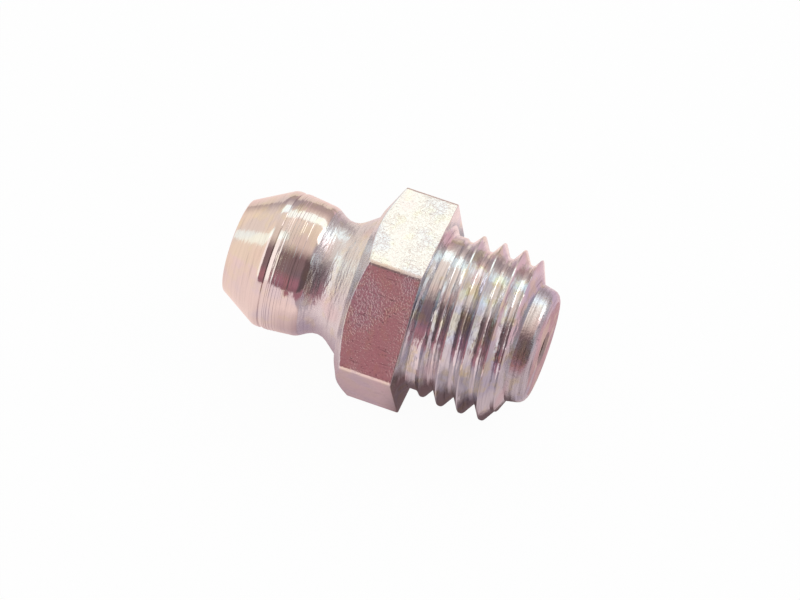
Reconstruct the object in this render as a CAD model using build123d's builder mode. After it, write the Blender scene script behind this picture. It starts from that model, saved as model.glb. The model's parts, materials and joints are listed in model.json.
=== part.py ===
from build123d import *
import math
import os

# Straight grease nipple with a conical coupler head and an M8 x 1 shank.
# The axis is X: the head points to -X and the shank to +X. The origin is the centre of the seat face,
# where the shank leaves the hexagon. The nipple lies on one flat of its hexagon, which faces -Z.

# ---------------------------------------------------------------- driving dimensions, mm and degrees
# Coupler head, which the jaws of a grease gun grip
head_radius = 3.25
head_front_radius = 2.2
head_cone_angle = 30.0  # between the cone and the axis
head_land = 0.7  # straight stretch behind the cone
head_back_radius = 3.12  # where the land's slow taper ends
head_taper = 1.3
head_edge_chamfer = 0.14
shoulder_length = 0.93  # slope between the head and the neck
shoulder_round = 0.7

# Neck, between the head and the hexagon
neck_radius = 2.45
neck_from_hexagon = 1.4
neck_round = 0.9
flare_radius = 3.55  # where the neck meets the hexagon

# Spanner hexagon
across_flats = 9.0
hexagon_thickness = 3.1
hexagon_face_radius = 3.95  # circle that the corner chamfer leaves on the head side
hexagon_chamfer_angle = 27.0

# Shank, plain at the thread's major radius
thread_radius = 4.0
shank_length = 4.7  # seat face to the end of the lead-in chamfer
relief_radius = 3.7
relief_width = 0.5
seat_opening_clearance = 0.05  # the seat face starts this far outside the thread
lead_in_angle = 67.0  # between the chamfer and the axis

# Spigot, whose rim is staked inwards over the spring
spigot_radius = 2.8
spigot_end_radius = 2.62
spigot_length = 0.88
spigot_edge_chamfer = 0.22
lip_thickness = 0.4
outlet_radius = 0.7
passage_edge = 0.12

# Valve
ball_radius = 1.2
ball_recess = 0.25  # front of the ball behind the front of the head
ball_seat_angle = 45.0  # between the seat and the axis
ball_seat_clearance = 0.02
inlet_radius = 0.75
bore_radius = 1.45
wire_radius = 0.17
wire_sides = 8
spring_radius = 1.3  # outside of the coils
spring_turns = 7
spring_end_clearance = 0.03

# ---------------------------------------------------------------- worked-out places along the axis
hexagon_middle = -hexagon_thickness / 2
neck_middle = -hexagon_thickness - neck_from_hexagon
taper_end = neck_middle - shoulder_length
taper_start = taper_end - head_taper
land_start = taper_start - head_land
head_cone_length = (head_radius - head_front_radius) / math.tan(math.radians(head_cone_angle))
head_front = land_start - head_cone_length

seat_opening_radius = thread_radius + seat_opening_clearance
relief_root = seat_opening_radius - relief_radius
relief_ramp = thread_radius - relief_radius
lead_in_length = (thread_radius - spigot_radius) / math.tan(math.radians(lead_in_angle))
nipple_end = shank_length + spigot_length

# The ball stands off its conical seat by the clearance, measured across the seat.
seat_sine = math.sin(math.radians(ball_seat_angle))
seat_slope = math.tan(math.radians(ball_seat_angle))
ball_x = head_front + ball_recess + ball_radius
seat_tip_x = ball_x - (ball_radius + ball_seat_clearance) / seat_sine
inlet_end = seat_tip_x + inlet_radius / seat_slope
bore_start = seat_tip_x + bore_radius / seat_slope
lip_start = nipple_end - lip_thickness

# The spring's ground ends lie against the back of the ball and the inside of the lip.
coil_radius = spring_radius - wire_radius
coil_inner_radius = spring_radius - 2 * wire_radius
ball_back = ball_x + math.sqrt(ball_radius**2 - coil_inner_radius**2)
spring_start = ball_back + spring_end_clearance
spring_end = lip_start - spring_end_clearance
spring_pitch = (spring_end - spring_start) / spring_turns


def round_corner(corner, rounding):
    """Round one corner of the sketch that is being drawn."""
    fillet(vertices().sort_by_distance(corner)[0], rounding)


def bevel_corner(corner, bevel):
    """Bevel one corner of the sketch that is being drawn."""
    chamfer(vertices().sort_by_distance(corner)[0], bevel)


# ---------------------------------------------------------------- nipple body, turned from hexagon bar
with BuildPart() as nipple_body:
    # Hexagon bar
    with BuildSketch(Plane.YZ.offset(-hexagon_thickness)):
        RegularPolygon(across_flats / 2, 6, major_radius=False)
    extrude(amount=hexagon_thickness)

    # Corner chamfer on the head side, turned round the bar
    corner_radius = across_flats / 2 / math.cos(math.pi / 6)
    chamfer_length = (corner_radius - hexagon_face_radius) * math.tan(math.radians(hexagon_chamfer_angle))
    with BuildSketch(Plane.XY):
        with BuildLine():
            Polyline(
                (-hexagon_thickness, 0),
                (-hexagon_thickness, hexagon_face_radius),
                (-hexagon_thickness + chamfer_length, corner_radius),
                (0, corner_radius),
                (0, 0),
                close=True,
            )
        make_face()
    revolve(axis=Axis.X, mode=Mode.INTERSECT)

    # Head, neck and flare, rooted in the hexagon
    with BuildSketch(Plane.XY):
        with BuildLine():
            Polyline(
                (hexagon_middle, 0),
                (head_front, 0),
                (head_front, head_front_radius),
                (land_start, head_radius),
                (taper_start, head_radius),
                (taper_end, head_back_radius),
                (neck_middle, neck_radius),
                (-hexagon_thickness, flare_radius),
                (hexagon_middle, flare_radius),
                close=True,
            )
        make_face()
        bevel_corner((head_front, head_front_radius), head_edge_chamfer)
        round_corner((taper_end, head_back_radius), shoulder_round)
        round_corner((neck_middle, neck_radius), neck_round)
    revolve(axis=Axis.X)

    # Shank with its relief next to the seat face, lead-in chamfer and spigot
    with BuildSketch(Plane.XY):
        with BuildLine():
            Polyline(
                (0, 0),
                (0, seat_opening_radius),
                (relief_root, relief_radius),
                (relief_width, relief_radius),
                (relief_width + relief_ramp, thread_radius),
                (shank_length - lead_in_length, thread_radius),
                (shank_length, spigot_radius),
                (nipple_end, spigot_end_radius),
                (nipple_end, 0),
                close=True,
            )
        make_face()
        bevel_corner((nipple_end, spigot_end_radius), spigot_edge_chamfer)
    revolve(axis=Axis.X)

    # Grease passage: inlet, ball seat, bore and the outlet inside the staked lip
    with BuildSketch(Plane.XY):
        with BuildLine():
            Polyline(
                (head_front, 0),
                (head_front, inlet_radius + passage_edge),
                (head_front + passage_edge, inlet_radius),
                (inlet_end, inlet_radius),
                (bore_start, bore_radius),
                (lip_start, bore_radius),
                (lip_start, outlet_radius),
                (nipple_end - passage_edge, outlet_radius),
                (nipple_end, outlet_radius + passage_edge),
                (nipple_end, 0),
                close=True,
            )
        make_face()
    revolve(axis=Axis.X, mode=Mode.SUBTRACT)
nipple_body.part.label = "nipple_body"


# ---------------------------------------------------------------- check ball
with BuildPart() as check_ball:
    with Locations((ball_x, 0, 0)):
        Sphere(ball_radius)
check_ball.part.label = "check_ball"


# ---------------------------------------------------------------- ball spring, with ground ends
with BuildPart() as ball_spring:
    wire_run_out = wire_radius
    with BuildLine():
        coils = Helix(
            pitch=spring_pitch,
            height=spring_end - spring_start + 2 * wire_run_out,
            radius=coil_radius,
            center=(spring_start - wire_run_out, 0, 0),
            direction=(1, 0, 0),
        )
    with BuildSketch(Plane(origin=coils @ 0, z_dir=coils % 0)):
        RegularPolygon(wire_radius, wire_sides)
    sweep(path=coils, is_frenet=True)
    split(bisect_by=Plane.YZ.offset(spring_start), keep=Keep.TOP)
    split(bisect_by=Plane.YZ.offset(spring_end), keep=Keep.BOTTOM)
ball_spring.part.label = "ball_spring"


os.makedirs("parts", exist_ok=True)
export_step(nipple_body.part, "parts/nipple_body.step")
export_step(check_ball.part, "parts/check_ball.step")
export_step(ball_spring.part, "parts/ball_spring.step")
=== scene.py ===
"""Dresses a straight grease nipple: the turned and threaded body, the coil spring and the check ball.

It also sets up a small studio. The nipple lies along X with its coupler head towards -X. The origin is
the centre of the seat face. Lengths are in metres.
"""

import json
import math

import bmesh
import bpy
from bpy.props import FloatProperty, FloatVectorProperty, IntProperty, PointerProperty
from mathutils import Matrix, Vector


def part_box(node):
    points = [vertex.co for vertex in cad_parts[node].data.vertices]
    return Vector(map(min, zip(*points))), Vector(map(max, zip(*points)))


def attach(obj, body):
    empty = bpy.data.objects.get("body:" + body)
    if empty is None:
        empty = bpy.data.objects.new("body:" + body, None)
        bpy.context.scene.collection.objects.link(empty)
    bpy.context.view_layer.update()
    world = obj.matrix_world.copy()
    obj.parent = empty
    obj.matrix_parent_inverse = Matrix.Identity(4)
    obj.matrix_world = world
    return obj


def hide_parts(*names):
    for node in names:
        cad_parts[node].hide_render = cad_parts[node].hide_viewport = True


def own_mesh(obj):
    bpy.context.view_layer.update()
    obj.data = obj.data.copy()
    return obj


bl_info = {
    "name": "Grease Nipple",
    "version": (1, 0, 0),
    "blender": (4, 5, 0),
    "location": "3D View > Sidebar > Nipple",
    "description": "Builds a threaded grease nipple with its spring, its finishes and a small studio",
    "category": "Add Mesh",
}

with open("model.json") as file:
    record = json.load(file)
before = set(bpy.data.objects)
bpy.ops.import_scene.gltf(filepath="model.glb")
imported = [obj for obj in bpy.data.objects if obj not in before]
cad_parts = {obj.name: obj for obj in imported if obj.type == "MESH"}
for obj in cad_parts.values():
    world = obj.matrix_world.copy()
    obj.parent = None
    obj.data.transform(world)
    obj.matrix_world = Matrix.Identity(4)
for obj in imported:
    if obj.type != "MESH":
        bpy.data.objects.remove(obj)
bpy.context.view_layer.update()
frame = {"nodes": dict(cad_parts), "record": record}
MM = 0.001
MICROMETRE = 0.001 * MM
MOUNTS = {mount["name"]: mount for mount in frame["record"]["mounts"]}
BODY_LOW, BODY_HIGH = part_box("nipple_body")
SPRING_LOW, SPRING_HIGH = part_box("ball_spring")

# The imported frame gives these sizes. The rest are properties with defaults of their own.
THREAD_RADIUS = MOUNTS["thread"]["dims"]["r_mm"] * MM
HEAD_RADIUS = MOUNTS["coupler_head"]["dims"]["r_mm"] * MM
HEAD_LAND = MOUNTS["coupler_head"]["dims"]["length_mm"] * MM
LAND_MIDDLE = MOUNTS["coupler_head"]["pos_m"][0]
CONE_END = LAND_MIDDLE - HEAD_LAND / 2
TAPER_START = LAND_MIDDLE + HEAD_LAND / 2
HEXAGON_APOTHEM = -MOUNTS["rest_flat"]["pos_m"][2]

HEXAGON_SIDES = 6
CLOSED_COILS = 1  # at each end of the spring

# How finely the meshes are divided
COLUMNS_PER_SIDE = 48
CORNER_ARC_STEPS = 3
ARC_STEPS = 4
FLANK_STEPS = 4
LEAD_IN_STEPS = 30
WIRE_STEPS = 14
COIL_STEPS = 40

# Edges that turn by more than this stay sharp.
BODY_SHARPNESS = math.radians(22)
WIRE_SHARPNESS = math.radians(40)

WHITE = (1.0, 1.0, 1.0)  # what the camera sees round the nipple
SOFT_WHITE = (0.8, 0.8, 0.8)  # the room's light on matte surfaces

# The direction of each soft light from the nipple, its width along the nipple and its depth, and its
# radiance as a colour
SOFTBOXES = {
    "far_softbox": ((0.0, 0.73, 0.68), 0.36, 0.08, (0.36, 0.60, 0.62)),
    "left_softbox": ((-0.80, 0.0, 0.60), 0.24, 0.06, (0.16, 0.36, 0.36)),
    "right_softbox": ((0.77, -0.21, 0.61), 0.06, 0.07, (0.35, 0.50, 0.50)),
    "high_softbox": ((0.55, 0.40, 0.73), 0.09, 0.12, (1.60, 1.54, 1.46)),
}


# ---------------------------------------------------------------- settings
def length(name, millimetres, description):
    """A length property with its default in millimetres."""
    return FloatProperty(
        name=name, description=description, default=millimetres * MM, min=0.0, precision=5, unit="LENGTH"
    )


def angle(name, degrees, description):
    """An angle property with its default in degrees."""
    return FloatProperty(name=name, description=description, default=math.radians(degrees), subtype="ANGLE")


def share(name, value, description):
    """A property between nothing and all."""
    return FloatProperty(
        name=name, description=description, default=value, min=0.0, max=1.0, subtype="FACTOR"
    )


def colour(name, value, description):
    """A linear colour property."""
    return FloatVectorProperty(
        name=name, description=description, default=value, size=3, min=0.0, max=4.0, subtype="COLOR"
    )


class HeadSizes(bpy.types.PropertyGroup):
    front_radius: length("Front radius", 2.2, "Radius where the cone meets the front face")
    front_round: length("Front rounding", 0.12, "Rounding between the front face and the cone")
    cone_angle: angle("Cone angle", 30.0, "Angle between the cone and the axis")
    cone_round: length("Cone rounding", 0.5, "Rounding between the cone and the land")
    plain_land: length("Plain land", 0.12, "Smooth stretch between the cone and the tool rings")
    first_ring: length("First ring", 0.24, "Width of the broadest tool ring")
    ring_pitch: length("Ring pitch", 0.12, "Distance between the fine tool rings that follow")
    ring_slope: angle("Ring slope", 14.0, "How far the rings' long sides tilt from the axis")
    ring_count: IntProperty(name="Rings", description="Tool rings behind the cone", default=12, min=1)
    back_radius: length("Back radius", 3.11, "Radius where the taper behind the land ends")
    taper: length("Taper", 1.3, "Length of the taper behind the land")
    shoulder_length: length("Shoulder", 0.97, "Length of the slope between the taper and the neck")
    shoulder_round: length("Shoulder rounding", 0.7, "Rounding where the taper turns into the slope")
    neck_radius: length("Neck radius", 2.5, "Radius where the slope and the flare would meet")
    neck_round: length("Neck rounding", 0.9, "Rounding in the bottom of the neck")
    flare_radius: length("Flare radius", 3.55, "Radius where the flare meets the hexagon")


class HexagonSizes(bpy.types.PropertyGroup):
    thickness: length("Thickness", 3.1, "Length of the hexagon along the axis")
    face_radius: length("Face radius", 3.95, "Circle that the corner chamfer leaves on the head side")
    chamfer_angle: angle("Chamfer angle", 27.0, "Angle between the corner chamfer and the face")
    corner_round: length("Corner rounding", 0.25, "Rounding of the six long corners")
    edge_round: length("Edge rounding", 0.05, "Rounding along the faces and the chamfer")


class ThreadSizes(bpy.types.PropertyGroup):
    pitch: length("Pitch", 1.0, "Distance from crest to crest")
    depth: length("Depth", 0.58, "Depth of the thread from crest to root")
    crest: share("Crest", 0.07, "Width of the flat crest as a share of the pitch")
    root: share("Root", 0.24, "Width of the rounded root as a share of the pitch")
    phase: share("Phase", 0.70, "Where the first crest crosses the +Y side, as a share of the pitch")
    run_out_start: length("Run-out start", 0.4, "Where the first groove begins to open")
    run_out_end: length("Run-out end", 1.15, "Where the groove has its full depth")
    seat_opening: length("Seat opening", 0.05, "Distance from the thread to the inside of the seat face")
    relief_depth: length("Relief depth", 0.34, "Depth of the plain stretch next to the seat face")
    relief_end: length("Relief end", 1.15, "Where the plain stretch reaches the thread's full radius")
    lead_in_end: length("Lead-in end", 4.7, "Where the chamfer at the thread's end stops")
    lead_in_angle: angle("Lead-in angle", 67.0, "Angle between that chamfer and the axis")


class SpigotSizes(bpy.types.PropertyGroup):
    radius: length("Radius", 2.8, "Radius at the foot of the spigot")
    end_radius: length("End radius", 2.62, "Radius before the rounded rim")
    edge_round: length("Edge rounding", 0.45, "Rounding of the rim")


class PassageSizes(bpy.types.PropertyGroup):
    inlet_radius: length("Inlet radius", 0.75, "Hole in front of the check ball")
    edge: length("Hole edge", 0.12, "Bevel of both holes' edges")
    seat_angle: angle("Seat angle", 45.0, "Angle between the ball seat and the axis")
    seat_gap: length("Seat gap", 0.02, "Distance between the ball and its seat")
    bore_radius: length("Bore radius", 1.45, "Bore around the spring")
    lip: length("Lip", 0.4, "Thickness of the lip that holds the spring")
    outlet_radius: length("Outlet radius", 0.7, "Hole in that lip")


class SpringSizes(bpy.types.PropertyGroup):
    wire_radius: length("Wire radius", 0.17, "Radius of the spring wire")
    coils: IntProperty(name="Coils", description="Open coils between the closed ends", default=7, min=1)


class FinishColours(bpy.types.PropertyGroup):
    zinc: colour("Zinc", (0.78, 0.74, 0.72), "Bright zinc plating on the turned head and the flats")
    zinc_pale: colour("Pale zinc", (0.73, 0.76, 0.81), "Duller plating on the neck")
    zinc_cool: colour("Cool zinc", (0.80, 0.83, 0.87), "Cooler plating on the thread and the spigot")
    zinc_blue: colour("Blue tint", (0.60, 0.64, 0.80), "Bluish passivation tint")
    zinc_straw: colour("Straw tint", (0.80, 0.78, 0.58), "Yellowish passivation tint")
    zinc_rose: colour("Rose tint", (0.80, 0.64, 0.66), "Pinkish passivation tint")
    zinc_worn: colour("Worn zinc", (0.58, 0.43, 0.43), "Plating on the end face")
    passage: colour("Passage", (0.50, 0.42, 0.42), "Thin plating inside the grease passage")
    ball: colour("Ball", (0.66, 0.66, 0.67), "Polished bearing steel")
    wire: colour("Wire", (0.42, 0.42, 0.44), "Drawn spring wire")


class StudioSettings(bpy.types.PropertyGroup):
    azimuth: angle("Azimuth", 12.46, "Camera's place round the nipple")
    elevation: angle("Elevation", 46.15, "Camera's height above the horizon")
    roll: angle("Roll", 9.75, "Camera's roll about its line of sight")
    distance: length("Distance", 192.5, "Camera's distance")
    lens: FloatProperty(name="Lens", description="Focal length in millimetres", default=189.6)
    target: length("Target", 1.37, "How far the camera aims in front of the seat face")
    floor: colour("Floor", (0.88, 0.87, 0.86), "Pale floor")
    backdrop: share("White floor", 0.96, "How much of the floor is plain white to the camera")
    floor_in_metal: colour("Floor in metal", (1.05, 0.80, 0.76), "The floor as the plating shows it")
    # Painted shade: the dimmer floor in front of the shank as the plating shows it
    shank_floor: colour("Floor by the shank", (0.56, 0.43, 0.44), "The dimmer floor in front of the shank")
    # Painted shadow: the floor under the nipple as the plating shows it
    shadow_in_metal: colour("Floor underneath", (0.54, 0.375, 0.405), "The floor underneath in the plating")
    walls: colour("Walls", (0.93, 0.76, 0.66), "Walls and ceiling as the plating shows them")
    far_edge: colour("Far edge", (0.50, 0.38, 0.36), "Foot of the far wall")
    left_end: colour("Left end", (1.05, 0.84, 0.69), "Wall that the cone faces")
    left_wall: colour("Left wall", (1.27, 1.13, 1.08), "Bright wall between the cone's side and the screen")
    right_wall: colour("Right wall", (0.48, 0.42, 0.45), "Wall on the shank's side")
    screen: colour("Dark screen", (0.27, 0.172, 0.18), "Dark screen behind the camera")
    screen_foot: colour("Screen's foot", (0.44, 0.192, 0.22), "Lower edge of the dark screen")


class NippleSettings(bpy.types.PropertyGroup):
    head: PointerProperty(type=HeadSizes)
    hexagon: PointerProperty(type=HexagonSizes)
    thread: PointerProperty(type=ThreadSizes)
    spigot: PointerProperty(type=SpigotSizes)
    passage: PointerProperty(type=PassageSizes)
    spring: PointerProperty(type=SpringSizes)
    finish: PointerProperty(type=FinishColours)
    studio: PointerProperty(type=StudioSettings)


# ---------------------------------------------------------------- mesh helpers
def smooth_step(low, high, value):
    """0 below low, 1 above high, with a soft passage between them."""
    t = min(max((value - low) / (high - low), 0.0), 1.0)
    return t * t * (3.0 - 2.0 * t)


def rounded_line(corners):
    """Points (x, radius) along a line of corners (x, radius, rounding). Each rounding becomes an arc.

    A point close outside each end of an arc keeps the shading of the straight stretches even.
    """
    outside = 0.02 * MM
    line = []
    for index, (x, radius, rounding) in enumerate(corners):
        here = Vector((x, radius))
        if rounding == 0.0:
            line.append(here)
            continue
        to_before = (Vector(corners[index - 1][:2]) - here).normalized()
        to_after = (Vector(corners[index + 1][:2]) - here).normalized()
        half_angle = to_before.angle(to_after) / 2
        centre = here + (to_before + to_after).normalized() * rounding / math.sin(half_angle)
        reach = rounding / math.tan(half_angle)
        spoke_in = here + to_before * reach - centre
        spoke_out = here + to_after * reach - centre
        sweep = -spoke_in.angle_signed(spoke_out)
        line.append(here + to_before * (reach + outside))
        for step in range(ARC_STEPS + 1):
            line.append(centre + Matrix.Rotation(sweep * step / ARC_STEPS, 2) @ spoke_in)
        line.append(here + to_after * (reach + outside))
    return line


def mesh_object(name, vertices, faces, face_finishes, finishes, sharp_angle):
    """A closed mesh object. Vertices that fall together are merged."""
    mesh = bpy.data.meshes.new(name)
    mesh.from_pydata(vertices, [], faces)
    for finish in finishes:
        mesh.materials.append(finish)
    mesh.polygons.foreach_set("material_index", face_finishes)
    merge_distance = 0.0002 * MM
    shape = bmesh.new()
    shape.from_mesh(mesh)
    bmesh.ops.remove_doubles(shape, verts=shape.verts, dist=merge_distance)
    bmesh.ops.recalc_face_normals(shape, faces=shape.faces)
    open_edges = sum(not edge.is_manifold for edge in shape.edges)
    shape.to_mesh(mesh)
    shape.free()
    if open_edges:
        raise RuntimeError(f"{name} has {open_edges} open edges")
    mesh.polygons.foreach_set("use_smooth", [True] * len(mesh.polygons))
    mesh.set_sharp_from_angle(angle=sharp_angle)
    new_object = bpy.data.objects.new(name, mesh)
    bpy.context.scene.collection.objects.link(new_object)
    return new_object


# ---------------------------------------------------------------- nipple body
def ring_corners(head, start, end):
    """Tool rings from start to end, each a short step down and a long climb back, fainter further on."""
    step_width = 0.12  # share of a ring's width
    width_spread, width_beat = 0.35, 5.1  # how the rings differ from one to the next
    mean_depth, depth_spread, depth_beat = 0.85, 0.15, 2.4
    fade_start, fade_end, faded = 0.25, 0.6, 0.7  # shares of the ring count, and of the depth
    slope = (HEAD_RADIUS - head.back_radius) / head.taper
    corners = [(start, HEAD_RADIUS, 0.0)]
    x = start + head.plain_land
    for ring in range(head.ring_count):
        width = head.ring_pitch * (1 + width_spread * math.sin(width_beat * ring))
        if ring == 0:
            width = head.first_ring
        if x + width > end:
            break
        fade = 1 - faded * smooth_step(fade_start, fade_end, ring / head.ring_count)
        unevenness = mean_depth + depth_spread * math.cos(depth_beat * ring)
        depth = width * math.tan(head.ring_slope) * fade * unevenness
        radius = HEAD_RADIUS - max(x - TAPER_START, 0.0) * slope
        corners.append((x, radius, 0.0))
        corners.append((x + step_width * width, radius - depth, 0.0))
        x += width
    corners.append((end, HEAD_RADIUS - (end - TAPER_START) * slope, 0.0))
    return corners


def head_line(head, hexagon, passage):
    """From the inlet's edge over the front face, cone, land, taper, shoulder and neck to the hexagon."""
    front = BODY_LOW.x
    taper_end = TAPER_START + head.taper
    half_shoulder_turn = 0.27  # radians, half the turn from the taper into the shoulder
    clear = 0.03 * MM  # between the tool rings and the roundings
    rings_start = CONE_END + head.cone_round * math.tan(head.cone_angle / 2) + clear
    rings_end = taper_end - head.shoulder_round * math.tan(half_shoulder_turn) - clear
    corners = [
        (front + passage.edge, passage.inlet_radius, 0.0),
        (front, passage.inlet_radius + passage.edge, 0.0),
        (front, head.front_radius, head.front_round),
        (CONE_END, HEAD_RADIUS, head.cone_round),
        *ring_corners(head, rings_start, rings_end),
        (taper_end, head.back_radius, head.shoulder_round),
        (taper_end + head.shoulder_length, head.neck_radius, head.neck_round),
        (-hexagon.thickness, head.flare_radius, 0.0),
    ]
    return rounded_line(corners)


def hexagon_radius(turn, corner_round):
    """Distance from the axis to the hexagon's side at an angle round the axis, with rounded corners."""
    sector = 2 * math.pi / HEXAGON_SIDES
    from_corner = abs((turn + sector / 2) % sector - sector / 2)
    corner_centre = (HEXAGON_APOTHEM - corner_round) / math.cos(sector / 2)
    tangent_at = math.atan2(
        corner_round * math.sin(sector / 2), corner_centre + corner_round * math.cos(sector / 2)
    )
    if from_corner < tangent_at:
        across = corner_centre * math.sin(from_corner)
        return corner_centre * math.cos(from_corner) + math.sqrt(corner_round**2 - across**2)
    return HEXAGON_APOTHEM / math.cos(sector / 2 - from_corner)


def hexagon_line(turn, hexagon, thread):
    """From the face next to the neck over the chamfer and the side to the inside of the seat face."""
    side = hexagon_radius(turn, hexagon.corner_round)
    head_face = -hexagon.thickness
    chamfer_end = head_face + (side - hexagon.face_radius) * math.tan(hexagon.chamfer_angle)
    opening = THREAD_RADIUS + thread.seat_opening
    return rounded_line(
        [
            (head_face, hexagon.face_radius, 0.0),
            (chamfer_end, side, hexagon.edge_round),
            (0.0, side, hexagon.edge_round),
            (0.0, opening, 0.0),
        ]
    )


def flank_range(thread):
    """Where a flank starts and ends, as distances from the crest in pitches."""
    return thread.crest / 2, 0.5 - thread.root / 2


def groove_depth(from_crest, thread):
    """Depth of the thread as a share of its full depth, at a distance from the crest in pitches."""
    flank_start, flank_end = flank_range(thread)
    root_drop = 0.06  # how much deeper the middle of the rounded root is
    flank = (from_crest - flank_start) / (flank_end - flank_start)
    if flank > 1.0:
        across_root = (0.5 - from_crest) / (thread.root / 2)
        return 1.0 - root_drop * across_root**2
    return max(flank, 0.0) * (1.0 - root_drop)


def lead_in_start(thread, spigot):
    """Where the chamfer at the thread's end begins, so that it ends on the spigot."""
    drop = THREAD_RADIUS - spigot.radius
    return thread.lead_in_end - drop / math.tan(thread.lead_in_angle)


def shank_radius(x, turn, thread, chamfer_start):
    """Radius of the shank at a place along the axis and an angle round it."""
    along = x / thread.pitch - turn / (2 * math.pi) + thread.phase
    from_crest = along - round(along)
    groove_middle = x + math.copysign(0.5 - abs(from_crest), from_crest) * thread.pitch
    opened = smooth_step(thread.run_out_start, thread.run_out_end, groove_middle)
    threaded = THREAD_RADIUS - thread.depth * groove_depth(abs(from_crest), thread) * opened
    level_share = 0.6  # of the plain stretch next to the seat face, before it rises
    risen = smooth_step(level_share * thread.relief_end, thread.relief_end, x)
    relief = THREAD_RADIUS - thread.relief_depth * (1 - risen)
    lead_in = THREAD_RADIUS + (chamfer_start - x) * math.tan(thread.lead_in_angle)
    return min(threaded, relief, lead_in)


def thread_line(turn, thread, spigot):
    """Along the shank from the seat face to the spigot, with points that follow the thread's helix."""
    helix_start, before_chamfer = 0.25 * MM, 0.12 * MM
    chamfer_start = lead_in_start(thread, spigot)
    helix_end = chamfer_start - before_chamfer
    flank_start, flank_end = flank_range(thread)
    half_tooth = [
        flank_start + (flank_end - flank_start) * step / FLANK_STEPS for step in range(FLANK_STEPS + 1)
    ]
    half_tooth.append((flank_end + 0.5) / 2)
    tooth = [-0.5] + [-from_crest for from_crest in reversed(half_tooth)] + half_tooth

    # Points that would lie past either end are gathered there, so that every column has as many.
    places = []
    for crest in range(-2, math.ceil((helix_end - helix_start) / thread.pitch) + 2):
        for from_crest in tooth:
            x = (crest + from_crest + turn / (2 * math.pi) - thread.phase + 1) * thread.pitch
            places.append(min(max(x, helix_start), helix_end))
    for step in range(1, LEAD_IN_STEPS + 1):
        places.append(helix_end + (thread.lead_in_end - helix_end) * step / LEAD_IN_STEPS)
    return [Vector((x, shank_radius(x, turn, thread, chamfer_start))) for x in places]


def spigot_line(spigot, thread, passage):
    """The spigot's side, its rounded rim and the end face, as far as the outlet."""
    end = BODY_HIGH.x
    corners = [
        (thread.lead_in_end, spigot.radius, 0.0),
        (end, spigot.end_radius, spigot.edge_round),
        (end, passage.outlet_radius + passage.edge, 0.0),
        (end - passage.edge, passage.outlet_radius, 0.0),
    ]
    return rounded_line(corners)[1:]  # the thread's line already has the first corner


def passage_line(passage):
    """Back through the outlet, the spring's bore and the ball seat to the inlet."""
    ball_low, ball_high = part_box("check_ball")
    ball_radius = (ball_high.x - ball_low.x) / 2
    ball_centre = (ball_high.x + ball_low.x) / 2
    seat_tip = ball_centre - (ball_radius + passage.seat_gap) / math.sin(passage.seat_angle)
    lip_start = BODY_HIGH.x - passage.lip
    return [
        Vector((lip_start, passage.outlet_radius)),
        Vector((lip_start, passage.bore_radius)),
        Vector((seat_tip + passage.bore_radius / math.tan(passage.seat_angle), passage.bore_radius)),
        Vector((seat_tip + passage.inlet_radius / math.tan(passage.seat_angle), passage.inlet_radius)),
    ]


def column_turns(hexagon):
    """Angles of the mesh's columns, closer together at the hexagon's rounded corners."""
    sector = 2 * math.pi / HEXAGON_SIDES
    corner_half = hexagon.corner_round * math.sin(sector / 2) / (HEXAGON_APOTHEM / math.cos(sector / 2))
    plain = sector - 2 * corner_half
    turns = []
    for side in range(HEXAGON_SIDES):
        start = side * sector
        end = start + sector
        turns += [start + corner_half * i / CORNER_ARC_STEPS for i in range(CORNER_ARC_STEPS)]
        turns += [start + corner_half + plain * i / COLUMNS_PER_SIDE for i in range(COLUMNS_PER_SIDE)]
        turns += [end - corner_half * (1 - i / CORNER_ARC_STEPS) for i in range(CORNER_ARC_STEPS)]
    return turns + [2 * math.pi]


def build_nipple(settings, finishes):
    """The nipple body as one closed mesh, column by column round the axis.

    The finishes go from its head over its neck, flats, thread, spigot and end face to its passage.
    """
    head = head_line(settings.head, settings.hexagon, settings.passage)
    spigot = spigot_line(settings.spigot, settings.thread, settings.passage)
    passage = passage_line(settings.passage)
    columns = []
    for turn in column_turns(settings.hexagon):
        hexagon = hexagon_line(turn, settings.hexagon, settings.thread)
        thread = thread_line(turn, settings.thread, settings.spigot)
        columns.append((turn, head + hexagon + thread + spigot + passage))
    rows = len(columns[0][1])

    bright_share = 0.15  # of the shoulder, which still has the head's finish
    neck_start = TAPER_START + settings.head.taper + settings.head.shoulder_length * bright_share
    rounded_rows = ARC_STEPS + 3
    spigot_row = len(head) + len(hexagon) + len(thread) - 1
    finish_starts = [
        next(row for row, point in enumerate(head) if point.x > neck_start),
        len(head) + rounded_rows,
        len(head) + 2 * rounded_rows,
        spigot_row,
        spigot_row + rounded_rows,
        spigot_row + len(spigot) - 1,
    ]

    vertices = [
        (point.x, point.y * math.cos(turn), point.y * math.sin(turn))
        for turn, section in columns
        for point in section
    ]
    faces, face_finishes = [], []
    for column in range(len(columns) - 1):
        for row in range(rows):
            next_row = (row + 1) % rows
            here, there = column * rows, (column + 1) * rows
            faces.append((here + row, here + next_row, there + next_row, there + row))
            face_finishes.append(sum(row >= start for start in finish_starts))
    return mesh_object("nipple", vertices, faces, face_finishes, finishes, BODY_SHARPNESS)


# ---------------------------------------------------------------- valve spring
def coil_place(turned, spring):
    """How far along the spring its wire is after some turns, with closed coils at both ends."""
    wire = 2 * spring.wire_radius
    space = SPRING_HIGH.x - SPRING_LOW.x
    open_length = space - wire - 2 * CLOSED_COILS * wire
    past_closed = max(turned - CLOSED_COILS, 0.0)
    open_turns = min(past_closed, spring.coils)
    closed_turns = min(turned, CLOSED_COILS) + min(max(past_closed - spring.coils, 0.0), CLOSED_COILS)
    return spring.wire_radius + closed_turns * wire + open_length * open_turns / spring.coils


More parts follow.
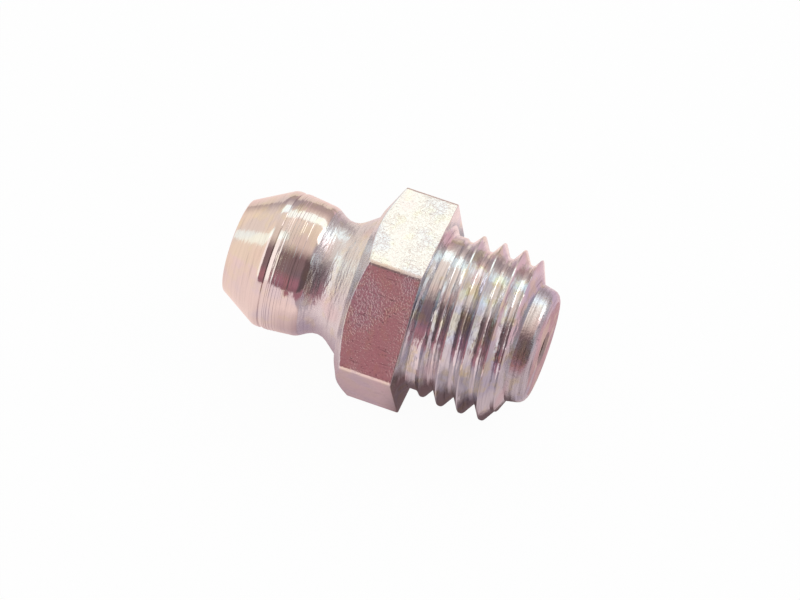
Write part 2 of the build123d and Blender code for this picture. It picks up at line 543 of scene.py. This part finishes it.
def build_spring(settings, finish):
    """A coil of round wire with closed and ground ends, in the space between the ball and the lip."""
    spring = settings.spring
    coil_radius = SPRING_HIGH.y - spring.wire_radius
    turns = spring.coils + 2 * CLOSED_COILS
    steps = turns * COIL_STEPS
    centres = []
    for step in range(steps + 1):
        turned = step / COIL_STEPS
        turn = 2 * math.pi * turned
        x = SPRING_LOW.x + coil_place(turned, spring)
        centres.append(Vector((x, coil_radius * math.cos(turn), coil_radius * math.sin(turn))))
    vertices, faces = [], []
    for step, centre in enumerate(centres):
        before, after = centres[max(step - 1, 0)], centres[min(step + 1, steps)]
        along = (after - before).normalized()
        outward = Vector((0.0, centre.y, centre.z)).normalized()
        sideways = along.cross(outward).normalized()
        for corner in range(WIRE_STEPS):
            turn = 2 * math.pi * corner / WIRE_STEPS
            point = centre + spring.wire_radius * (outward * math.cos(turn) + sideways * math.sin(turn))
            point.x = min(max(point.x, SPRING_LOW.x), SPRING_HIGH.x)
            vertices.append(point)
    for step in range(steps):
        for corner in range(WIRE_STEPS):
            next_corner = (corner + 1) % WIRE_STEPS
            here, there = step * WIRE_STEPS, (step + 1) * WIRE_STEPS
            faces.append((here + corner, here + next_corner, there + next_corner, there + corner))
    faces.append(tuple(reversed(range(WIRE_STEPS))))
    faces.append(tuple(range(steps * WIRE_STEPS, (steps + 1) * WIRE_STEPS)))
    return mesh_object("valve_spring", vertices, faces, [0] * len(faces), [finish], WIRE_SHARPNESS)


# ---------------------------------------------------------------- finishes
def add_node(tree, kind, inputs=None, **settings):
    """A node with its own settings. Inputs take values or the sockets of other nodes."""
    node = tree.nodes.new(kind)
    for name, value in settings.items():
        setattr(node, name, value)
    for name, value in (inputs or {}).items():
        if isinstance(value, bpy.types.NodeSocket):
            tree.links.new(value, node.inputs[name])
        else:
            node.inputs[name].default_value = value
    return node


def new_finish(name):
    """A material with a fresh node tree, its surface shader and the place on the object."""
    material = bpy.data.materials.new(name)
    material.use_nodes = True
    tree = material.node_tree
    shader = tree.nodes["Principled BSDF"]
    place = add_node(tree, "ShaderNodeTexCoord").outputs["Object"]
    return material, tree, shader, place


def noise(tree, place, along, around, detail=2.0, roughness=0.5):
    """Noise with so many features to the metre along the nipple's axis and around it."""
    stretched = add_node(
        tree, "ShaderNodeVectorMath", {0: place, 1: (along, around, around)}, operation="MULTIPLY"
    ).outputs["Vector"]
    inputs = {"Vector": stretched, "Scale": 1.0, "Detail": detail, "Roughness": roughness}
    return add_node(tree, "ShaderNodeTexNoise", inputs).outputs["Fac"]


def between(tree, value, low, high, out_low=0.0, out_high=1.0, even=False):
    """The value spread from one range to another, softly or evenly, and held at its ends."""
    inputs = {"Value": value, "From Min": low, "From Max": high, "To Min": out_low, "To Max": out_high}
    kind = "LINEAR" if even else "SMOOTHSTEP"
    return add_node(tree, "ShaderNodeMapRange", inputs, interpolation_type=kind).outputs["Result"]


def times(tree, first, second):
    """The product of two values."""
    return add_node(tree, "ShaderNodeMath", {0: first, 1: second}, operation="MULTIPLY").outputs["Value"]


def within(tree, value, start, full, still_full, end):
    """1 inside a range of the value and 0 outside it, with a soft passage at both ends."""
    return times(tree, between(tree, value, start, full), between(tree, value, end, still_full))


def uneven(tree, mark, lowest, highest):
    """A value that follows a mark between two values, which it has over the mark's dips and tops."""
    dips, tops = 0.3, 0.7
    return between(tree, mark, dips, tops, lowest, highest)


def lit(shade, factor):
    """A colour made darker or brighter by a factor."""
    return [factor * channel for channel in shade]


def blended(tree, factor, first, second):
    """Two colours mixed by a factor. Each is a colour or the socket of another node."""
    inputs = {"Factor": factor, "A": first, "B": second}
    for name in ("A", "B"):
        if not isinstance(inputs[name], bpy.types.NodeSocket):
            inputs[name] = (*inputs[name], 1.0)
    return add_node(tree, "ShaderNodeMix", inputs, data_type="RGBA", clamp_factor=True).outputs[2]


def banded(tree, value, *stops):
    """A colour that changes with a value. Each stop is (value, colour)."""
    low, high = stops[0][0], stops[-1][0]
    ramp = add_node(tree, "ShaderNodeValToRGB", {"Fac": between(tree, value, low, high, even=True)})
    elements = ramp.color_ramp.elements
    for stop, shade in stops[1:-1]:
        elements.new((stop - low) / (high - low)).color = (*shade, 1.0)
    elements[0].color = (*stops[0][1], 1.0)
    elements[-1].color = (*stops[-1][1], 1.0)
    return ramp.outputs["Color"]


def tinted(tree, place, colours, base, tint):
    """The plating's colour, which wanders to blue, rose and straw in broad and small patches."""
    broad = noise(tree, place, 700, 500, detail=1.0)
    small = noise(tree, place, 1500, 1100, detail=3.0)
    shade = base
    for patches, none_at, full_at, other in (
        (broad, 0.52, 0.66, colours.zinc_blue),
        (broad, 0.46, 0.30, colours.zinc_rose),
        (small, 0.52, 0.66, colours.zinc_straw),
    ):
        shade = blended(tree, between(tree, patches, none_at, full_at, 0.0, tint), shade, other)
    return shade


def darkened(tree, place, shade, streak_shade, wear):
    """The colour with painted shade in dark lines round the axis, and with scratches along it and small
    spots.
    """
    dark = (0.24, 0.21, 0.23)
    faint_share = 0.35  # how dark the broader streaks are beside the narrow ones
    marks = []
    if streak_shade > 0.0:
        # Painted shade: the turning marks drawn as dark lines round the axis
        around = noise(tree, place, 9000, 260, detail=3.0, roughness=0.7)
        marks += [(around, 0.56, 0.40, faint_share * streak_shade), (around, 0.37, 0.31, streak_shade)]
    if wear > 0.0:
        scratches = noise(tree, place, 900, 14000, roughness=0.6)
        spots = noise(tree, place, 7000, 8000, roughness=0.7)
        marks += [(scratches, 0.62, 0.74, wear), (spots, 0.60, 0.72, wear)]
    for mark, none_at, full_at, amount in marks:
        shade = blended(tree, between(tree, mark, none_at, full_at, 0.0, amount), shade, dark)
    return shade


def surface_mark(tree, place, kind):
    """The height of one kind of mark in the plating, from 0 to 1."""
    if kind == "dents":
        dents = between(tree, noise(tree, place, 13000, 13000, detail=1.0), 0.50, 0.64)
        crowded = between(tree, noise(tree, place, 700, 500, detail=1.0), 0.40, 0.62, 0.35, 1.0)
        return times(tree, dents, crowded)
    # Features to the metre along the axis and around it, and detail
    along, around, detail = {
        "grain": (12000, 12000, 2.0),
        "chatter": (7000, 1900, 1.0),
        "rings": (8000, 80, 1.0),
        "fine_rings": (26000, 300, 1.0),
        "lines": (300, 9000, 3.0),
    }[kind]
    return noise(tree, place, along, around, detail, roughness=0.6)


def bumped(tree, marks):
    """The surface's direction over some marks, each with its height in micrometres."""
    normal = None
    for height, mark in marks:
        inputs = {"Height": mark, "Strength": 1.0, "Distance": height * MICROMETRE}
        if normal is not None:
            inputs["Normal"] = normal
        normal = add_node(tree, "ShaderNodeBump", inputs).outputs["Normal"]
    return normal


def finish_metal(tree, shader, shade, rough, normal):
    """Joins a metal's colour, roughness and surface direction to its shader."""
    shader.inputs["Metallic"].default_value = 1.0
    for name, socket in (("Base Color", shade), ("Roughness", rough), ("Normal", normal)):
        tree.links.new(socket, shader.inputs[name])


def zinc_finish(name, colours, base, roughness, tint, streak_shade=0.0, wear=0.0, **heights):
    """Bright zinc plating over turned or drawn steel.

    tint is how far its colour wanders. The streak shade is how dark the painted shade in its turning
    marks is, and wear is how dark its scratches are. heights gives the height in micrometres of each
    kind of surface mark.
    """
    material, tree, shader, place = new_finish(name)
    fine_share = 0.35
    if "rings" in heights:
        heights["fine_rings"] = fine_share * heights["rings"]
    marks = {kind: surface_mark(tree, place, kind) for kind in heights}
    shade = darkened(tree, place, tinted(tree, place, colours, base, tint), streak_shade, wear)
    rough = uneven(tree, marks["grain"], 0.8 * roughness, 1.25 * roughness)
    normal = bumped(tree, [(height, marks[kind]) for kind, height in heights.items()])
    finish_metal(tree, shader, shade, rough, normal)
    return material


def steel_finish(name, base, roughness, grain):
    """Plain polished or drawn steel with faint marks of a height in micrometres."""
    material, tree, shader, place = new_finish(name)
    fine = noise(tree, place, 6000, 6000, detail=3.0)
    dull = lit(base, 0.85)
    shade = blended(tree, between(tree, fine, 0.35, 0.65), dull, base)
    rough = uneven(tree, fine, 0.7 * roughness, 1.3 * roughness)
    finish_metal(tree, shader, shade, rough, bumped(tree, [(grain, fine)]))
    return material


# ---------------------------------------------------------------- studio
def floor_in_metal(tree, studio):
    """The floor's colour in metal: bright, with the dark screen's foot on the camera's side.

    It has a painted shadow under the nipple, darkest under its shank, and painted shade behind the seat
    face and, lighter, beyond the shank's end. Its places are in millimetres along and across the nipple.
    """
    place = add_node(tree, "ShaderNodeTexCoord").outputs["Object"]
    millimetres = add_node(tree, "ShaderNodeVectorMath", {0: place, "Scale": 1 / MM}, operation="SCALE")
    along, across, _ = add_node(tree, "ShaderNodeSeparateXYZ", {0: millimetres.outputs["Vector"]}).outputs
    # under is the painted shadow under the nipple, and shaded the darker painted shadow under the shank
    bright, under, foot = studio.floor_in_metal, studio.shadow_in_metal, studio.screen_foot
    shaded = lit(studio.screen, 0.6)
    # A lighter copy of that painted shade, nearer the shank
    shank_floor = lit(studio.shank_floor, 1.15)
    far_side = ((14, bright), (50, studio.far_edge))

    by_head = banded(tree, across, (-20, bright), (60, studio.walls))
    # Beside the hexagon the floor has a painted shadow under it
    by_hexagon = banded(
        tree,
        across,
        (-45, foot),
        (-32, bright),
        (-10, bright),
        (-3, under),
        (1, under),
        (6, bright),
        *far_side,
    )
    # Beside the shank: painted shade in front of it and a painted shadow under it
    by_shank = banded(
        tree,
        across,
        (-32, foot),
        (-16, studio.shank_floor),
        (-5, shank_floor),
        (-2.5, shaded),
        (3, shaded),
        (7, bright),
        *far_side,
    )
    # Beyond the shank's end: a lighter painted shadow, with the painted shade in front of the shank
    beyond_end = banded(
        tree, across, (-32, foot), (-16, studio.shank_floor), (0, shank_floor), (5, lit(under, 1.45))
    )
    # Painted shadow on the floor next to the seat face
    at_seat = times(tree, within(tree, along, -0.3, 0.2, 0.9, 1.8), within(tree, across, -5, -3, 3, 5))
    # Painted shadow of the hexagon and the thread on the floor behind the seat face, in the right wall's
    # colour
    behind_seat = times(
        tree, within(tree, along, -0.6, 0.2, 2.4, 3.4), within(tree, across, 5, 7, 9.6, 10.6)
    )
    shade = blended(tree, between(tree, along, -1.2, 0.6), by_hexagon, by_shank)
    shade = blended(tree, at_seat, shade, shaded)
    shade = blended(tree, behind_seat, shade, studio.right_wall)
    shade = blended(tree, between(tree, along, 4.8, 5.6), shade, beyond_end)
    return blended(tree, between(tree, along, -10, -4), by_head, shade)


def build_floor(studio):
    """A pale floor that keeps the nipple's shadow and meets the white background."""
    material = bpy.data.materials.new("studio_floor")
    material.use_nodes = True
    tree = material.node_tree
    tree.nodes.remove(tree.nodes["Principled BSDF"])
    rays = add_node(tree, "ShaderNodeLightPath")
    matte = add_node(tree, "ShaderNodeBsdfDiffuse", {"Color": (*studio.floor, 1.0)}).outputs["BSDF"]
    # Metal sees the floor in floor_in_metal's colours, with their painted shadows
    glow = blended(tree, rays.outputs["Is Glossy Ray"], WHITE, floor_in_metal(tree, studio))
    plain = add_node(tree, "ShaderNodeEmission", {"Color": glow, "Strength": 1.0}).outputs["Emission"]
    to_camera = times(tree, rays.outputs["Is Camera Ray"], studio.backdrop)
    plain_share = add_node(
        tree, "ShaderNodeMath", {0: to_camera, 1: rays.outputs["Is Glossy Ray"]}, operation="ADD"
    ).outputs["Value"]
    surface = add_node(tree, "ShaderNodeMixShader", {0: plain_share, 1: matte, 2: plain})
    tree.links.new(surface.outputs["Shader"], tree.nodes["Material Output"].inputs["Surface"])

    half_size, gap = 0.6, 0.002 * MM
    height = BODY_LOW.z - gap
    corners = [
        (x * half_size, y * half_size, height) for x, y in ((-1, -1), (1, -1), (1, 1), (-1, 1))
    ]
    mesh = bpy.data.meshes.new("studio_floor")
    mesh.from_pydata(corners, [], [(0, 1, 2, 3)])
    mesh.materials.append(material)
    floor = bpy.data.objects.new("studio_floor", mesh)
    bpy.context.scene.collection.objects.link(floor)


def room_in_metal(tree, studio):
    """The room's colour in metal: light walls and ceiling, and a dark screen on the camera's side.

    The height round the room runs from 0 at the far horizon over 90 overhead to 180 degrees at the
    camera's side. along is the share of the direction that points along the nipple.
    """
    direction = add_node(tree, "ShaderNodeTexCoord").outputs["Generated"]
    along, across, upward = add_node(tree, "ShaderNodeSeparateXYZ", {0: direction}).outputs
    arc = add_node(tree, "ShaderNodeMath", {0: upward, 1: across}, operation="ARCTAN2").outputs["Value"]
    height = times(tree, arc, math.degrees(1.0))

    walls = banded(
        tree,
        height,
        (0, studio.far_edge),
        (16, lit(studio.far_edge, 1.12)),
        (32, studio.walls),
        (58, lit(studio.walls, 1.08)),
        (90, lit(studio.walls, 0.94)),
    )
    walls = blended(tree, between(tree, along, -0.55, -0.80), walls, studio.left_end)
    walls = blended(tree, between(tree, along, 0.45, 0.70), walls, studio.right_wall)
    beside_screen = times(
        tree, between(tree, height, 70, 100), within(tree, along, -0.86, -0.76, -0.60, -0.50)
    )
    walls = blended(tree, beside_screen, walls, studio.left_wall)

    foot = studio.screen_foot
    screen = banded(tree, height, (150, studio.screen), (162, foot), (169, foot), (176, lit(foot, 0.75)))
    screen = blended(tree, between(tree, along, 0.12, 0.32), screen, lit(studio.screen, 0.55))
    on_screen = times(
        tree, between(tree, height, 98, 124), within(tree, along, -0.60, -0.50, 0.82, 0.92)
    )
    return blended(tree, on_screen, walls, screen)


def build_room(studio):
    """The light from all round: white to the camera, and in metal a light room with a dark screen."""
    world = bpy.data.worlds.new("studio_room")
    bpy.context.scene.world = world
    world.use_nodes = True
    tree = world.node_tree
    rays = add_node(tree, "ShaderNodeLightPath")
    seen = blended(tree, rays.outputs["Is Glossy Ray"], SOFT_WHITE, room_in_metal(tree, studio))
    seen = blended(tree, rays.outputs["Is Camera Ray"], seen, WHITE)
    background = tree.nodes["Background"]
    tree.links.new(seen, background.inputs["Color"])
    background.inputs["Strength"].default_value = 1.0


def add_softbox(name, direction, width, depth, radiance):
    """A soft rectangular light that faces the nipple. It adds its radiance to the wall behind it."""
    distance = 0.25
    strongest = max(radiance)
    light = bpy.data.lights.new(name, "AREA")
    light.shape = "RECTANGLE"
    light.size = width
    light.size_y = depth
    light.color = [channel / strongest for channel in radiance]
    light.energy = strongest * math.pi * width * depth
    box = bpy.data.objects.new(name, light)
    back = Vector(direction).normalized()
    right = (Vector((1.0, 0.0, 0.0)) - back * back.x).normalized()
    box.matrix_world = Matrix((right, back.cross(right), back)).transposed().to_4x4()
    box.location = back * distance
    bpy.context.scene.collection.objects.link(box)


def add_camera(studio):
    """The camera, aimed at the hexagon from above and rolled about its line of sight."""
    camera_data = bpy.data.cameras.new("studio_camera")
    camera_data.lens = studio.lens
    camera_data.clip_start = 10 * MM
    camera = bpy.data.objects.new("studio_camera", camera_data)
    outward = math.cos(studio.elevation)
    back = Vector(
        (
            math.sin(studio.azimuth) * outward,
            -math.cos(studio.azimuth) * outward,
            math.sin(studio.elevation),
        )
    )
    camera.location = Vector((-studio.target, 0.0, 0.0)) + back * studio.distance
    level = back.to_track_quat("Z", "Y")
    camera.rotation_mode = "QUATERNION"
    camera.rotation_quaternion = level @ Matrix.Rotation(studio.roll, 3, "Z").to_quaternion()
    bpy.context.scene.collection.objects.link(camera)
    bpy.context.scene.camera = camera


# ---------------------------------------------------------------- operators
class NIPPLE_OT_body(bpy.types.Operator):
    """Build the turned and threaded nipple body"""

    bl_idname = "nipple.body"
    bl_label = "Nipple body"

    def execute(self, context):
        settings = context.scene.grease_nipple
        colours = settings.finish
        finishes = [
            zinc_finish(
                "zinc_head", colours, colours.zinc, roughness=0.11, tint=0.35, streak_shade=0.2,
                grain=1.4, rings=3, chatter=7,
            ),
            zinc_finish(
                "zinc_neck", colours, colours.zinc_pale, roughness=0.27, tint=0.4, streak_shade=0.3,
                grain=4, rings=14, chatter=32,
            ),
            zinc_finish(
                "zinc_flats", colours, colours.zinc, roughness=0.1, tint=0.3, wear=0.5,
                grain=1.4, lines=0.4, dents=5.5,
            ),
            zinc_finish(
                "zinc_thread", colours, colours.zinc_cool, roughness=0.13, tint=0.7, streak_shade=0.6,
                grain=5, rings=8, chatter=18,
            ),
            zinc_finish(
                "zinc_spigot", colours, colours.zinc_cool, roughness=0.24, tint=0.7, streak_shade=0.8, wear=0.5,
                grain=6, chatter=10,
            ),
            zinc_finish(
                "zinc_end", colours, colours.zinc_worn, roughness=0.36, tint=0.8, wear=0.8,
                grain=6, dents=12,
            ),
            zinc_finish(
                "zinc_passage", colours, colours.passage, roughness=0.45, tint=0.2, wear=0.3, grain=3
            ),
        ]
        nipple = build_nipple(settings, finishes)
        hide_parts("nipple_body")
        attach(nipple, "nipple")
        return {"FINISHED"}


class NIPPLE_OT_spring(bpy.types.Operator):
    """Wind the spring that presses the ball on its seat"""

    bl_idname = "nipple.spring"
    bl_label = "Valve spring"

    def execute(self, context):
        settings = context.scene.grease_nipple
        finish = steel_finish("spring_wire", settings.finish.wire, roughness=0.3, grain=0.5)
        spring = build_spring(settings, finish)
        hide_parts("ball_spring")
        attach(spring, "nipple")
        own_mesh(spring)
        return {"FINISHED"}


class NIPPLE_OT_ball(bpy.types.Operator):
    """Polish the check ball"""

    bl_idname = "nipple.ball"
    bl_label = "Check ball"

    def execute(self, context):
        settings = context.scene.grease_nipple
        ball = frame["nodes"]["check_ball"]
        finish = steel_finish("ball_steel", settings.finish.ball, roughness=0.08, grain=0.1)
        ball.data.materials.clear()
        ball.data.materials.append(finish)
        return {"FINISHED"}


class NIPPLE_OT_studio(bpy.types.Operator):
    """Set up the floor, the light and the camera"""

    bl_idname = "nipple.studio"
    bl_label = "Studio"

    def execute(self, context):
        studio = context.scene.grease_nipple.studio
        context.scene.view_settings.view_transform = "Standard"
        build_floor(studio)
        build_room(studio)
        for name, softbox in SOFTBOXES.items():
            add_softbox(name, *softbox)
        add_camera(studio)
        return {"FINISHED"}


class NIPPLE_PT_sidebar(bpy.types.Panel):
    """Lists the nipple's pieces and the studio"""

    bl_idname = "NIPPLE_PT_sidebar"
    bl_label = "Grease Nipple"
    bl_space_type = "VIEW_3D"
    bl_region_type = "UI"
    bl_category = "Nipple"

    def draw(self, context):
        for operator in OPERATORS:
            self.layout.operator(operator.bl_idname)


SETTINGS = (
    HeadSizes,
    HexagonSizes,
    ThreadSizes,
    SpigotSizes,
    PassageSizes,
    SpringSizes,
    FinishColours,
    StudioSettings,
    NippleSettings,
)
OPERATORS = (NIPPLE_OT_body, NIPPLE_OT_spring, NIPPLE_OT_ball, NIPPLE_OT_studio)


def register():
    for settings_class in SETTINGS:
        bpy.utils.register_class(settings_class)
    bpy.types.Scene.grease_nipple = PointerProperty(type=NippleSettings)
    for interface_class in (*OPERATORS, NIPPLE_PT_sidebar):
        bpy.utils.register_class(interface_class)


def unregister():
    for interface_class in (NIPPLE_PT_sidebar, *reversed(OPERATORS)):
        bpy.utils.unregister_class(interface_class)
    del bpy.types.Scene.grease_nipple
    for settings_class in reversed(SETTINGS):
        bpy.utils.unregister_class(settings_class)


def main():
    """Builds the pieces and the studio."""
    register()
    bpy.ops.nipple.body()
    bpy.ops.nipple.spring()
    bpy.ops.nipple.ball()
    bpy.ops.nipple.studio()


if __name__ == "__main__":
    main()
